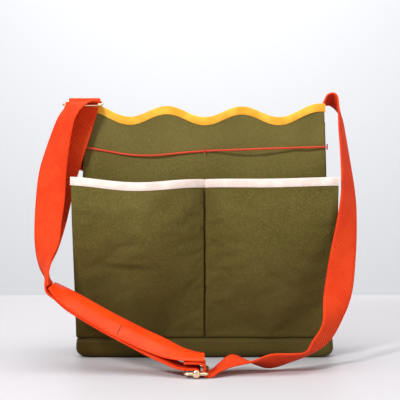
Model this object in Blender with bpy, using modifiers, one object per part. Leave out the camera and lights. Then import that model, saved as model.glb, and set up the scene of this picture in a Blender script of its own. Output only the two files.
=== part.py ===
"""Garden tool bag: a canvas tote with two front pockets and an adjustable webbing shoulder strap.

The origin is at the centre of the bag's underside, +Z is up and the pockets face -Y.
All sizes are in metres.
"""
import math

import bmesh
import bpy
from mathutils import Matrix, Vector

# Driving dimensions.
MM = 0.001
BASE_WIDTH = 0.310
BASE_DEPTH = 0.100
BASE_CORNER = 0.014
BAND_HEIGHT = 0.024
BAND_EDGE_RADIUS = 0.010
TOP_HALF_WIDTH = 0.1455
BODY_TOP = 0.297
GUSSET_TOP = 0.284
POCKET_TOP = 0.2135
POCKET_STANDOFF = 0.035
POCKET_HALF_WIDTH = 0.1565
POCKET_CREASE_WIDTH = 0.060
POCKET_CREASE_WIDTH = 0.060
POCKET_CREASE_WIDTH = 0.060
POCKET_CREASE_WIDTH = 0.060
POCKET_CREASE_WIDTH = 0.060
BINDING_HEIGHT = 0.0097
FABRIC = 0.002
BINDING_THICKNESS = 0.0034
SEAM_TAPE = 0.0008
SCALLOP_PITCH = 0.0915
SCALLOP_DEPTH = 0.0136
WEBBING_WIDTH = 0.038
WEBBING = 0.0022
WIRE_RADIUS = 0.0017
GAP = 0.0004

# The base's stiffening board lies inside the band, on the bottom cloth.
BOARD_WIDTH = 0.286
BOARD_DEPTH = 0.078
BOARD_THICKNESS = 0.0025

# The front and rear panels lean in towards the top.
PANEL_Y_BASE = BASE_DEPTH / 2 - 0.0046
PANEL_Y_TOP = 0.042
POCKET_Y_BASE = BASE_DEPTH / 2 - 0.001

# The strap turns about an X axis through the left ring's rear bar.
SWING_Y = -0.025
SWING_Z = 0.310
RING_X = -0.147
RING_HALF_WIDTH = 0.0227
RING_FRONT_Y = -0.049
RING_FRONT_Z = 0.304

# The three-bar slider lies on the strap in front of the bag.
SLIDER_X = -0.0095
SLIDER_Y = -0.156
SLIDER_Z = 0.0052
SLIDER_HALF_LENGTH = 0.0121
SLIDER_HALF_WIDTH = 0.0215
SLIDER_BOSS_RADIUS = 0.0042
SLIDER_WIRE_RADIUS = 0.0016

# The elastic cord crosses the front panel.
ELASTIC_RADIUS = 0.00125
ELASTIC_END_Z = 0.254

OLIVE = (0.125, 0.105, 0.035)
CREAM = (0.92, 0.80, 0.72)
YELLOW = (0.95, 0.55, 0.06)
CORAL = (0.90, 0.09, 0.03)
GOLD = (0.90, 0.70, 0.48)
BOARD = (0.35, 0.30, 0.24)


def clear_scene():
    for item in list(bpy.data.objects):
        bpy.data.objects.remove(item)


def make_collection(name):
    group = bpy.data.collections.new(name)
    bpy.context.scene.collection.children.link(group)
    return group


def make_material(name, colour, roughness, metallic=0.0):
    material = bpy.data.materials.new(name)
    material.use_nodes = True
    shader = material.node_tree.nodes["Principled BSDF"]
    shader.inputs["Base Color"].default_value = (*colour, 1.0)
    shader.inputs["Roughness"].default_value = roughness
    shader.inputs["Metallic"].default_value = metallic
    return material


def add_object(name, data, material, group):
    item = bpy.data.objects.new(name, data)
    data.materials.append(material)
    group.objects.link(item)
    return item


def thicken(item, thickness):
    solidify = item.modifiers.new("thickness", "SOLIDIFY")
    solidify.thickness = thickness
    solidify.offset = 0.0
    return item


def smoothstep(value):
    value = min(1.0, max(0.0, value))
    return value * value * (3.0 - 2.0 * value)


def grid_mesh(name, surface, columns, rows, closed=False):
    """An open grid of quads over surface(u, v), with u and v from 0 to 1; closed joins u = 1 to u = 0."""
    shape = bmesh.new()
    stops = columns if closed else columns + 1
    lines = []
    for row in range(rows + 1):
        line = []
        for column in range(stops):
            line.append(shape.verts.new(surface(column / columns, row / rows)))
        lines.append(line)
    for lower, upper in zip(lines, lines[1:]):
        for column in range(columns):
            following = (column + 1) % stops
            shape.faces.new((lower[column], lower[following], upper[following], upper[column]))
    bmesh.ops.recalc_face_normals(shape, faces=shape.faces)
    mesh = bpy.data.meshes.new(name)
    shape.to_mesh(mesh)
    shape.free()
    mesh.shade_smooth()
    return mesh


def sheet(name, surface, columns, rows, thickness, material, group, closed=False):
    mesh = grid_mesh(name, surface, columns, rows, closed)
    return thicken(add_object(name, mesh, material, group), thickness)


def panel_half_width(z):
    """Half the body's width at height z, at the outer face of the gussets."""
    share = (z - BAND_HEIGHT) / (BODY_TOP - BAND_HEIGHT)
    return 0.153 + (TOP_HALF_WIDTH - 0.153) * share


def panel_y(z):
    """Distance of the front and rear panels' middle surfaces from the XZ plane."""
    share = (z - BAND_HEIGHT) / (BODY_TOP - BAND_HEIGHT)
    return PANEL_Y_BASE + (PANEL_Y_TOP - PANEL_Y_BASE) * share


def scallop(x):
    """Height of the wavy top edge at x: troughs at the centre line, crests half a pitch away."""
    wave = -0.5 * SCALLOP_DEPTH * math.cos(2.0 * math.pi * x / SCALLOP_PITCH)
    corner_lift = 0.0035 * (x / TOP_HALF_WIDTH) ** 4
    return BODY_TOP + wave + corner_lift


def pocket_y(x, z):
    """Middle surface of the pocket panels: it stands off towards the top and dips at the centre seam."""
    rise = smoothstep((z - BAND_HEIGHT) / (POCKET_TOP - BAND_HEIGHT) * 0.92 + 0.08)
    rise = (rise - smoothstep(0.08)) / (1.0 - smoothstep(0.08))
    seam_y = panel_y(z) + FABRIC + SEAM_TAPE + 2 * GAP
    swell = math.sin(0.5 * math.pi * min(1.0, abs(x) / POCKET_CREASE_WIDTH)) ** 0.8
    corner = smoothstep((abs(x) - (POCKET_HALF_WIDTH - 0.012)) / 0.012)
    open_y = POCKET_Y_BASE + POCKET_STANDOFF * rise * (1.0 - 0.12 * corner)
    return -(seam_y + (open_y - seam_y) * swell)


def pocket_half_width(z):
    share = (z - BAND_HEIGHT) / (POCKET_TOP - BAND_HEIGHT)
    return 0.1545 + (POCKET_HALF_WIDTH - 0.1545) * share


def rounded_loop(half_x, half_y, radius, share):
    """A point on a rounded rectangle, share from 0 to 1 once round."""
    steps = ((half_x - radius, half_y - radius, 0.0), (radius - half_x, half_y - radius, 90.0),
             (radius - half_x, radius - half_y, 180.0), (half_x - radius, radius - half_y, 270.0))
    quarter = share * 4.0
    index = int(quarter) % 4
    centre_x, centre_y, start = steps[index]
    angle = math.radians(start + 90.0 * (quarter - int(quarter)))
    return centre_x + radius * math.cos(angle), centre_y + radius * math.sin(angle)


def make_plate(name, width, depth, radius, bottom, thickness, material, group):
    """A flat rounded plate, as a filled curve with its thickness from extrude."""
    curve = bpy.data.curves.new(name, "CURVE")
    curve.dimensions = "2D"
    curve.fill_mode = "BOTH"
    curve.extrude = thickness / 2
    spline = curve.splines.new("POLY")
    corner_steps = 6
    spline.points.add(4 * (corner_steps + 1) - 1)
    for corner in range(4):
        for step in range(corner_steps + 1):
            share = (corner + step / corner_steps * 0.999) / 4
            x, y = rounded_loop(width / 2, depth / 2, radius, share)
            spline.points[corner * (corner_steps + 1) + step].co = (x, y, 0.0, 1.0)
    spline.use_cyclic_u = True
    plate = add_object(name, curve, material, group)
    plate.location.z = bottom + thickness / 2
    return plate


def make_base(olive, board, group):
    inset = BAND_EDGE_RADIUS + 2 * GAP
    make_plate("base_bottom", BASE_WIDTH - 2 * inset, BASE_DEPTH - 2 * inset, 0.006, 0.0, FABRIC, olive, group)
    make_plate("base_board", BOARD_WIDTH, BOARD_DEPTH, 0.008, FABRIC + GAP, BOARD_THICKNESS, board, group)

    def band(u, v):
        # The lower third of the wall rolls under, to meet the bottom.
        roll = BAND_EDGE_RADIUS - FABRIC / 2
        if v < 0.5:
            angle = math.pi / 2 * v * 2
            inward = roll * (1.0 - math.sin(angle))
            height = FABRIC / 2 + roll * (1.0 - math.cos(angle))
        else:
            inward = 0.0
            height = BAND_EDGE_RADIUS + (BAND_HEIGHT - BAND_EDGE_RADIUS) * (v - 0.5) * 2
        half_x = BASE_WIDTH / 2 - FABRIC / 2 - inward
        half_y = BASE_DEPTH / 2 - FABRIC / 2 - inward
        x, y = rounded_loop(half_x, half_y, BASE_CORNER - inward, u)
        return Vector((x, y, height))

    sheet("base_band", band, 40, 8, FABRIC, olive, group, closed=True)


def make_body(olive, yellow, group):
    bottom = BAND_HEIGHT + GAP

    def panel(side):
        def surface(u, v):
            height = bottom + v * (BODY_TOP - BINDING_HEIGHT - bottom)
            x = (2 * u - 1) * panel_half_width(height)
            edge = scallop(x) - BINDING_HEIGHT - GAP
            z = bottom + v * (edge - bottom)
            return Vector((x, side * panel_y(z), z))
        return surface

    def binding(side):
        def surface(u, v):
            x = (2 * u - 1) * TOP_HALF_WIDTH
            z = scallop(x) - BINDING_HEIGHT * (1.0 - v)
            return Vector((x, side * panel_y(z), z))
        return surface

    def gusset(side):
        def surface(u, v):
            z = bottom + v * (GUSSET_TOP - bottom)
            half_depth = panel_y(z) - FABRIC - GAP
            x = panel_half_width(z) - FABRIC / 2
            return Vector((side * x, (2 * u - 1) * half_depth, z))
        return surface

    for name, side in (("front", -1), ("rear", 1)):
        sheet(name + "_panel", panel(side), 40, 4, FABRIC, olive, group)
        sheet(name + "_binding", binding(side), 40, 1, BINDING_THICKNESS, yellow, group)
    for name, side in (("left", -1), ("right", 1)):
        sheet("gusset_" + name, gusset(side), 2, 2, FABRIC, olive, group)


def make_pockets(olive, cream, group):
    bottom = BAND_HEIGHT + GAP
    top = POCKET_TOP - BINDING_HEIGHT - GAP
    seam = 0.0012
    binding_seam = 0.0020

    def panel(side):
        def surface(u, v):
            z = bottom + v * (top - bottom)
            x = side * (seam + u * (pocket_half_width(z) - seam))
            return Vector((x, pocket_y(x, z), z))
        return surface

    def binding(side):
        def surface(u, v):
            z = POCKET_TOP - BINDING_HEIGHT * (1.0 - v)
            x = side * (binding_seam + u * (POCKET_HALF_WIDTH - binding_seam))
            return Vector((x, pocket_y(x, z), z))
        return surface

    def side_wall(side):
        def surface(u, v):
            # From just behind the pocket panel's edge back to the body's front corner.
            z = 0.060 + v * (POCKET_TOP - 0.060)
            front_x = pocket_half_width(z) - FABRIC / 2
            front_y = pocket_y(front_x, z) + 0.0034
            back_x = panel_half_width(z) - FABRIC / 2
            back_y = -panel_y(z) - 0.0028
            x = front_x + u * (back_x - front_x)
            return Vector((side * x, front_y + u * (back_y - front_y), z))
        return surface

    def seam_tape(u, v):
        # The tape lies in the centre crease, between the pocket panels and the front panel.
        z = bottom + v * (top - bottom)
        return Vector(((2 * u - 1) * 0.004, -(panel_y(z) + (FABRIC + SEAM_TAPE) / 2 + GAP), z))

    sheet("pocket_seam_tape", seam_tape, 1, 4, SEAM_TAPE, olive, group)
    for name, side in (("left", -1), ("right", 1)):
        sheet("pocket_panel_" + name, panel(side), 16, 10, FABRIC, olive, group)
        sheet("pocket_binding_" + name, binding(side), 20, 1, BINDING_THICKNESS, cream, group)
        sheet("pocket_side_" + name, side_wall(side), 2, 5, FABRIC * 0.8, olive, group)


def spline_point(points, place):
    """A point on the smooth Catmull-Rom curve through the points, place from 0 to len(points) - 1."""
    index = min(int(place), len(points) - 2)
    t = place - index
    before = points[max(index - 1, 0)]
    start = points[index]
    end = points[index + 1]
    after = points[min(index + 2, len(points) - 1)]
    return 0.5 * (2 * start + (end - before) * t + (2 * before - 5 * start + 4 * end - after) * t * t
                  + (3 * start - before - 3 * end + after) * t * t * t)


def ribbon(name, stations, material, group, width=WEBBING_WIDTH, steps=3, crown=0.0):
    """A flat band through stations of (centre in mm, direction across the band)."""
    centres = [Vector(centre) * MM for centre, across in stations]
    sides = [Vector(across).normalized() for centre, across in stations]
    last = len(stations) - 1

    def surface(u, v):
        place = v * last
        centre = spline_point(centres, place)
        across = spline_point(sides, place).normalized()
        ahead = spline_point(centres, min(place + 0.05, last)) - spline_point(centres, max(place - 0.05, 0.0))
        normal = across.cross(ahead).normalized()
        lift = crown * (1.0 - abs(2 * u - 1))
        return centre + across * (u - 0.5) * width + normal * lift

    return sheet(name, surface, 2, last * steps, WEBBING, material, group)


# The strap's stations: each is (centre in mm, direction across the band).
ANCHOR_RIGHT = (
    ((143.8, -20.2, 226), (0, 1, 0)),
    ((142.4, -20.2, 284), (0, 1, 0)),
    ((143.0, -20.2, 297), (0, 1, 0.02)),
    ((144.8, -20.7, 305.5), (0, 0.99, -0.10)),
    ((148.3, -21.8, 311.8), (0, 0.97, -0.24)),
    ((152.6, -23.2, 313.8), (0, 0.96, -0.28)),
)
TAB_LEFT = (
    ((-150.4, -22, 226), (0, -1, 0)),
    ((-148.8, -22, 270), (0, -1, 0)),
    ((-148.6, -21.9, 285), (0, -1, 0)),
    ((-148, -23, 293), (0.7, -0.7, 0)),
    ((-147, -27.5, 304), (1, 0, 0)),
    ((-147, -28.9, 308.5), (1, 0, 0)),
    ((-147, -28, 312.4), (1, 0, 0)),
    ((-147, -25, 313.9), (1, 0, 0)),
    ((-147, -21.8, 312.2), (1, 0, 0)),
    ((-147, -21.2, 308.5), (1, 0, 0)),
    ((-147, -22.6, 305.5), (1, 0, 0)),
)
RUN_RIGHT = (
    ((153.4, -23.4, 313.9), (0, 0.96, -0.28)),
    ((157.5, -25.2, 313), (0, 0.95, -0.30)),
    ((162, -29.3, 306.8), (0.10, 0.94, -0.30)),
    ((164.8, -35, 294.5), (0.24, 0.94, -0.20)),
    ((166.5, -40, 272), (0.33, 0.94, -0.10)),
    ((168.5, -47, 245), (0.38, 0.92, 0.04)),
    ((170.3, -61.5, 201), (0.54, 0.84, -0.08)),
    ((166.8, -74.5, 166.5), (0.70, 0.71, -0.02)),
    ((160, -87, 125), (0.86, 0.50, -0.03)),
    ((152.5, -100, 83.5), (0.90, 0.42, -0.04)),
    ((142.6, -118, 51.5), (0.62, 0.77, -0.10)),
    ((130, -123, 32), (0.58, 0.80, -0.12)),
    ((116.3, -130, 20.5), (0.32, 0.94, -0.16)),
    ((97, -137, 16), (0.10, 0.93, -0.35)),
    ((72, -141, 12.5), (0, 0.85, -0.53)),
    ((50, -142, 12), (0, 0.98, -0.17)),
    ((30, -145, 14), (0, 0.99, 0.16)),
    ((16, -152, 8), (0, 1, 0.04)),
    ((8.5, -156, 2.9), (0, 1, 0)),
    ((3, -156, 1.7), (0, 1, 0)),
    ((-0.6, -156, 3.0), (0, 1, 0)),
    ((-1.6, -156, 7.0), (0, 1, 0)),
    ((-0.4, -156, 11.5), (0, 1, 0)),
    ((-4, -156, 15), (0, 1, 0)),
    ((-12, -156, 15.8), (0, 1, 0)),
    ((-23, -154, 16.2), (0, 1, 0.05)),
)
SMOOTH_SECTION = (
    ((-1, -156, 19.6), (0, 1, 0.02)),
    ((-12, -155, 20.4), (0, 1, 0.08)),
    ((-28, -151, 23), (0.05, 0.98, 0.20)),
    ((-44.2, -144.5, 27.5), (0.12, 0.93, 0.34)),
    ((-61, -138.5, 33.5), (0.17, 0.91, 0.37)),
    ((-78, -133.5, 40.3), (0.19, 0.90, 0.38)),
    ((-112, -125, 56.3), (0.19, 0.90, 0.38)),
    ((-146.6, -117, 75.0), (0.17, 0.92, 0.35)),
    ((-164, -113.5, 85.8), (0.10, 0.96, 0.22)),
    ((-173.5, -112, 93.3), (0.03, 1, 0.06)),
)
RUN_OUTER = (
    ((-147, -45.9, 302.5), (1, 0, 0)),
    ((-147, -46.3, 305.6), (1, 0, 0)),
    ((-147, -49, 307.1), (1, 0, 0)),
    ((-147.5, -55.5, 306.3), (0.985, -0.14, 0.08)),
    ((-153, -63.5, 301.5), (0.80, -0.58, 0.13)),
    ((-164, -66, 286), (0.68, -0.73, 0.04)),
    ((-173.8, -66, 252), (0.80, -0.60, -0.02)),
    ((-179.8, -66, 222.7), (0.91, -0.40, 0)),
    ((-182, -68, 193), (0.95, -0.30, 0.02)),
    ((-183.8, -75, 164), (0.90, -0.43, 0)),
    ((-183.8, -84, 140), (0.83, -0.56, 0.03)),
    ((-184.8, -97, 113), (0.40, -0.90, 0.15)),
    ((-177.5, -111.5, 91.5), (-0.03, -1, -0.06)),
    ((-165.0, -112.2, 83.2), (-0.10, -0.96, -0.22)),
    ((-147.6, -115.8, 72.5), (-0.17, -0.92, -0.35)),
    ((-113.0, -123.8, 53.9), (-0.19, -0.90, -0.38)),
    ((-79.2, -132.2, 37.5), (-0.19, -0.90, -0.38)),
    ((-62.5, -137.6, 29), (-0.16, -0.92, -0.35)),
    ((-46.5, -144.8, 20), (-0.07, -0.97, -0.22)),
    ((-31, -153, 11), (0, -1, -0.03)),
    ((-21.6, -156, 9.3), (0, -1, 0)),
    ((-13, -156, 9.1), (0, -1, 0)),
    ((-8.6, -156, 8.5), (0, -1, 0)),
    ((-6, -156, 5.2), (0, -1, 0)),
    ((-9, -156, 1.8), (0, -1, 0)),
    ((-12.8, -156, 2.6), (0, -1, 0)),
)
RUN_INNER = (
    ((-147.1, -45.9, 301.5), (1, 0, 0)),
    ((-148, -46.8, 295), (1, 0, 0)),
    ((-151, -49, 284), (1, -0.03, 0.05)),
    ((-155, -51.5, 270), (1, -0.05, 0)),
    ((-163.9, -53, 242), (1, -0.05, 0)),
    ((-174.5, -51.5, 205), (1, 0, 0.10)),
    ((-180.5, -57, 172), (0.97, -0.20, 0.08)),
    ((-182, -70, 150), (0.87, -0.47, 0.08)),
    ((-182.5, -82, 132), (0.70, -0.70, 0.08)),
    ((-181.6, -95.2, 114), (0.38, -0.91, 0.14)),
    ((-178, -104.5, 102.5), (0.17, -0.98, 0.06)),
    ((-174.4, -110.6, 94.9), (0, -1, 0)),
)


def make_wire_ring(name, points, radius, material, group):
    """A closed ring of round wire through the points."""
    curve = bpy.data.curves.new(name, "CURVE")
    curve.dimensions = "3D"
    curve.bevel_depth = radius
    curve.bevel_resolution = 2
    spline = curve.splines.new("POLY")
    spline.points.add(len(points) - 1)
    for knot, point in zip(spline.points, points):
        knot.co = (*point, 1.0)
    spline.use_cyclic_u = True
    return add_object(name, curve, material, group)


def wire_rectangle(half_x, half_y, corner, place):
    """Points of a rounded rectangle, placed in space by place(x, y)."""
    steps = 5
    points = []
    for quarter in range(4):
        for step in range(steps):
            share = (quarter + step / (steps - 1) * 0.999) / 4
            points.append(place(*rounded_loop(half_x, half_y, corner, share)))
    return points


def make_strap(coral, gold, group):
    ribbon("strap_anchor_right", ANCHOR_RIGHT, coral, group)
    ribbon("strap_tab_left", TAB_LEFT, coral, group, steps=2)
    ribbon("strap_run_right", RUN_RIGHT, coral, group)
    ribbon("strap_smooth_section", SMOOTH_SECTION, coral, group, crown=0.003)
    ribbon("strap_run_inner", RUN_INNER, coral, group)
    ribbon("strap_run_outer", RUN_OUTER, coral, group)

    rear = Vector((RING_X, SWING_Y, SWING_Z))
    front = Vector((RING_X, RING_FRONT_Y, RING_FRONT_Z))
    forward = (front - rear).normalized()

    def place(x, y):
        return (rear + front) / 2 + Vector((x, 0.0, 0.0)) + forward * y

    ring = wire_rectangle(RING_HALF_WIDTH, (front - rear).length / 2, 0.0035, place)
    make_wire_ring("strap_ring", ring, WIRE_RADIUS, gold, group)


def make_cylinder(name, radius, length, centre, segments, material, group):
    """A capped cylinder along Y."""
    shape = bmesh.new()
    bmesh.ops.create_cone(shape, cap_ends=True, segments=segments, radius1=radius, radius2=radius, depth=length)
    bmesh.ops.rotate(shape, matrix=Matrix.Rotation(math.pi / 2, 3, "X"), verts=shape.verts)
    bmesh.ops.translate(shape, vec=centre, verts=shape.verts)
    mesh = bpy.data.meshes.new(name)
    shape.to_mesh(mesh)
    shape.free()
    return add_object(name, mesh, material, group)


def make_slider(gold, group, cutters):
    def place(x, y):
        return Vector((SLIDER_X + x, SLIDER_Y + y, SLIDER_Z))

    loop = wire_rectangle(SLIDER_HALF_LENGTH, SLIDER_HALF_WIDTH, 0.0035, place)
    wire = make_wire_ring("slider_wire", loop, SLIDER_WIRE_RADIUS, gold, cutters)
    graph = bpy.context.evaluated_depsgraph_get()
    mesh = bpy.data.meshes.new_from_object(wire.evaluated_get(graph))
    shape = bmesh.new()
    shape.from_mesh(mesh)
    bmesh.ops.remove_doubles(shape, verts=shape.verts, dist=0.000001)
    shape.to_mesh(mesh)
    shape.free()
    bpy.data.objects.remove(wire)
    mesh.materials.clear()
    frame = add_object("slider_frame", mesh, gold, group)
    for side in (-1, 1):
        boss_centre = place(0.0, side * SLIDER_HALF_WIDTH)
        boss = make_cylinder("slider_boss", SLIDER_BOSS_RADIUS, 0.0044, boss_centre, 16, gold, cutters)
        boss.hide_render = True
        boss.display_type = "WIRE"
        union = frame.modifiers.new("boss", "BOOLEAN")
        union.operation = "UNION"
        union.solver = "EXACT"
        union.object = boss

    bar_length = 2 * (SLIDER_HALF_WIDTH - 0.0022 - GAP)
    make_cylinder("slider_bar", WIRE_RADIUS, bar_length, place(0.0, 0.0), 12, gold, group)


def elastic_path():
    """The slack cord: it hangs in a shallow curve left of the centre tack and is straight right of it."""
    route = ((-146.3, 254), (-130, 251), (-113, 248), (-95, 245), (-76, 243.5), (-55, 244), (-30, 246.5),
             (0, 249), (40, 250.5), (90, 252.3), (146.3, 254))
    knots = []
    for x, z in route:
        y = -(panel_y(z * MM) + FABRIC / 2 + ELASTIC_RADIUS + GAP)
        knots.append(Vector((x * MM, y, z * MM)))
    return [spline_point(knots, share * (len(knots) - 1) / 60) for share in range(61)]


def make_elastic(coral, group):
    curve = bpy.data.curves.new("elastic_cord", "CURVE")
    curve.dimensions = "3D"
    curve.bevel_depth = ELASTIC_RADIUS
    curve.bevel_resolution = 2
    curve.use_fill_caps = True
    spline = curve.splines.new("POLY")
    points = elastic_path()
    spline.points.add(len(points) - 1)
    for knot, point in zip(spline.points, points):
        knot.co = (*point, 1.0)
    add_object("elastic_cord", curve, coral, group)

    # Each end of the cord is caught in a small tab on the gusset; the middle is held by one tack.
    for name, side in (("left", -1), ("right", 1)):
        tab_x = side * (panel_half_width(ELASTIC_END_Z) + 0.0011)
        tab_y = -panel_y(ELASTIC_END_Z) - 0.0014
        make_block("elastic_tab_" + name, (0.0012, 0.0042, 0.007), (tab_x, tab_y, ELASTIC_END_Z), coral, group)
    tack_z = 0.249
    tack_y = -(panel_y(tack_z) + FABRIC / 2 + 2 * ELASTIC_RADIUS + 2 * GAP + 0.0006)
    make_block("elastic_tack_centre", (0.0016, 0.0012, 0.0060), (0.0, tack_y, tack_z), coral, group)


def make_block(name, size, centre, material, group):
    shape = bmesh.new()
    bmesh.ops.create_cube(shape, size=1.0)
    bmesh.ops.scale(shape, vec=size, verts=shape.verts)
    mesh = bpy.data.meshes.new(name)
    shape.to_mesh(mesh)
    shape.free()
    block = add_object(name, mesh, material, group)
    block.location = centre
    return block


def main():
    clear_scene()
    group = make_collection("garden_tool_bag")
    cutters = make_collection("cutters")
    olive = make_material("olive_canvas", OLIVE, 0.85)
    cream = make_material("cream_binding", CREAM, 0.7)
    yellow = make_material("yellow_binding", YELLOW, 0.7)
    coral = make_material("coral_webbing", CORAL, 0.7)
    gold = make_material("gold_metal", GOLD, 0.25, 1.0)
    board = make_material("base_board", BOARD, 0.9)
    make_base(olive, board, group)
    make_body(olive, yellow, group)
    make_pockets(olive, cream, group)
    make_strap(coral, gold, group)
    make_slider(gold, group, cutters)
    make_elastic(coral, group)


main()
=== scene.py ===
import math

import bmesh
import bpy
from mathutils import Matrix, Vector, noise


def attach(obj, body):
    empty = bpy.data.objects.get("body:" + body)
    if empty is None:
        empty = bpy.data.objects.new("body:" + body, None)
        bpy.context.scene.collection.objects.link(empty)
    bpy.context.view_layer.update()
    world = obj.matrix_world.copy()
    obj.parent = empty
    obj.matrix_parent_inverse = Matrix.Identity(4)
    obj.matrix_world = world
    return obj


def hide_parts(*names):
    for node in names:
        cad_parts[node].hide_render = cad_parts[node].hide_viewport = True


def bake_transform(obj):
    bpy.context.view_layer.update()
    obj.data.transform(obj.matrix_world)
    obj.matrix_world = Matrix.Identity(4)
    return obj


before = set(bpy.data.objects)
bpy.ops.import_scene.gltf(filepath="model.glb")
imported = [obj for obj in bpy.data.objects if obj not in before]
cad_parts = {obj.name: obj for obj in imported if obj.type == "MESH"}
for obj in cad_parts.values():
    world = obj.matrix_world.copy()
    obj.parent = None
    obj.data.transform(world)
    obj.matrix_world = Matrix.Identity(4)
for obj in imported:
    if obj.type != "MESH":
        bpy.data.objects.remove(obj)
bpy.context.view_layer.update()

# The looks of the garden tool bag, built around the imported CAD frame.
# Lengths are in metres unless a name or comment says mm. +Z is up and the pockets face -Y.

MM = 0.001

# Camera and stage.
CAMERA_AT = (-0.0056, -1.150, 0.190)
CAMERA_LENS = 82.5
TABLE_BACK = 0.68
WALL_Y = 2.4

# Modelling resolution: grids as (columns, rows), the rest in steps.
PANEL_GRID = (72, 48)
GUSSET_GRID = (20, 40)
POCKET_GRID = (64, 64)
SIDE_FOLD_GRID = (10, 30)
SEAM_TAPE_GRID = (2, 20)
BAND_GRID = (200, 14)
SOLE_GRID = (60, 20)
EDGE_STEPS = 120
POCKET_EDGE_STEPS = 80
HEM_STEPS = 30
BASE_STEPS = 200
ELASTIC_STEPS = 60
RAIL_STEPS = 6
SETTLE_FRAMES = 16
TURNED_SIDES = 24
SHARP_ANGLE = math.radians(50.0)
TURNED_SHARP_ANGLE = math.radians(40.0)

# The bag's body and base.
BASE_WIDTH = 0.310
BASE_DEPTH = 0.100
BASE_CORNER = 0.014
BAND_HEIGHT = 0.024
BAND_ROLL = 0.010
SOLE_INSET = 0.0108
SEAM_SHADE_CORD_INSET = 0.0034
SEAM_SHADE_CORD_RADIUS = 0.0008
BODY_TOP = 0.297
GUSSET_TOP = 0.284
PANEL_HALF_WIDTH_BASE = 0.153
TOP_HALF_WIDTH = 0.1455
PANEL_Y_BASE = 0.0454
PANEL_Y_TOP = 0.042
SCALLOP_PITCH = 0.0915
SCALLOP_DEPTH = 0.0136

# The pockets.
POCKET_TOP = 0.2135
POCKET_MOUTH = 0.2147
POCKET_HALF_WIDTH_BASE = 0.1545
POCKET_HALF_WIDTH = 0.1565
POCKET_Y_BASE = 0.049
POCKET_STANDOFF = 0.035
POCKET_CREASE_WIDTH = 0.060
POCKET_SPACING = 1.35
SEAM_HALF_GAP = 0.0013
SEAM_TAPE_TOP = 0.203
SEAM_TAPE_HALF_WIDTH = 0.004
SEAM_TAPE_THICKNESS = 0.0008
SIDE_FOLD_BOTTOM = 0.030
SIDE_FOLD_TOP = 0.2150

# How the pocket cloth settles: its growth, the push from inside and the most that a point moves.
POCKET_SETTLE = (0.014, 0.0, 0.005)

# Cloth, tape, webbing and thread.
FABRIC = 0.002
CLOTH_TUCK = 0.0030
YELLOW_TAPE = 0.0102
YELLOW_TAPE_THICKNESS = 0.0040
CREAM_TAPE = 0.0100
CREAM_TAPE_THICKNESS = 0.0042
TAPE_STITCH_INSET = 0.0018
GUSSET_HEM = 0.008
GUSSET_HEM_THICKNESS = 0.0030
WEBBING_WIDTH = 0.038
WEBBING = 0.0022
ELASTIC_RADIUS = 0.00125
THREAD_RADIUS = 0.00032
THREAD_SIDES = 6
STITCH_PITCH = 0.0032
STRAP_STITCH_PITCH = 0.0036

# One thread dash, as (share of the pitch, size and rise as shares of the thread's radius).
STITCH_PROFILE = ((0.14, 0.35, -0.6), (0.3, 0.9, 0.3), (0.5, 1.0, 0.6), (0.7, 0.9, 0.3), (0.86, 0.35, -0.6))

# The strap's hardware, and the box of stitches on the ring's tab.
SWING_Y = -0.025
SWING_Z = 0.310
RING_X = -0.147
RING_HALF_WIDTH = 0.0227
RING_FRONT_Y = -0.049
RING_FRONT_Z = 0.304
WIRE_RADIUS = 0.0017
SLIDER_AT = Vector((-0.0095, -0.156, 0.0052))
SLIDER_HALF_LENGTH = 0.0121
SLIDER_HALF_WIDTH = 0.0215
SLIDER_WIRE = 0.0016
BAR_RADIUS = 0.0017
BAR_END_RADIUS = 0.0014
BAR_BEVEL = 0.0004
WIRE_CORNER = 0.0035
TAB_FACE_X = -0.1518
TAB_BOX_Y = (-0.037, -0.007)
TAB_BOX_Z = (0.230, 0.262)

# A knob on the slider's side, as (distance along Y, radius).
KNOB_PROFILE = ((-0.0024, 0.0022), (-0.0021, 0.0033), (-0.0012, 0.0041), (0.0, 0.0043), (0.0012, 0.0041),
                (0.0021, 0.0033), (0.0024, 0.0022))


# ---- shape helpers

def smoothstep(value):
    value = min(1.0, max(0.0, value))
    return value * value * (3.0 - 2.0 * value)


def hump(value, centre, width):
    """A smooth bump of height 1 at the centre, zero beyond the width either side."""
    share = min(1.0, abs(value - centre) / width)
    return 0.5 + 0.5 * math.cos(math.pi * share)


def ripple(x, y, z, size):
    """Smooth seeded noise between about -1 and 1, with features of the given size."""
    return noise.noise(Vector((x, y, z)) / size)


def spline(points, place):
    """A point on the Catmull-Rom curve through the points, place from 0 to len(points) - 1."""
    index = min(int(place), len(points) - 2)
    t = place - index
    before = points[max(index - 1, 0)]
    start = points[index]
    end = points[index + 1]
    after = points[min(index + 2, len(points) - 1)]
    return 0.5 * (2 * start + (end - before) * t + (2 * before - 5 * start + 4 * end - after) * t * t
                  + (3 * start - before - 3 * end + after) * t * t * t)


def running_length(points):
    total = [0.0]
    for start, end in zip(points, points[1:]):
        total.append(total[-1] + (end - start).length)
    return total


def add_object(name, data):
    item = bpy.data.objects.new(name, data)
    bpy.context.scene.collection.objects.link(item)
    return item


def mesh_object(name, shape, material):
    """Turns a bmesh into a smooth-shaded object of one material, with its faces pointing out."""
    bmesh.ops.recalc_face_normals(shape, faces=shape.faces)
    mesh = bpy.data.meshes.new(name)
    shape.to_mesh(mesh)
    shape.free()
    mesh.materials.append(material)
    mesh.shade_smooth()
    return add_object(name, mesh)


def fit(piece, body, slot, *nodes):
    """Puts a piece on the body it rides on and hides the CAD nodes it stands for; slot is not used."""
    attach(piece, body)
    if nodes:
        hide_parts(*nodes)


def dress(node, material):
    """Gives a CAD node that stays visible its material."""
    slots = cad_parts[node].data.materials
    slots.clear()
    slots.append(material)


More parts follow.
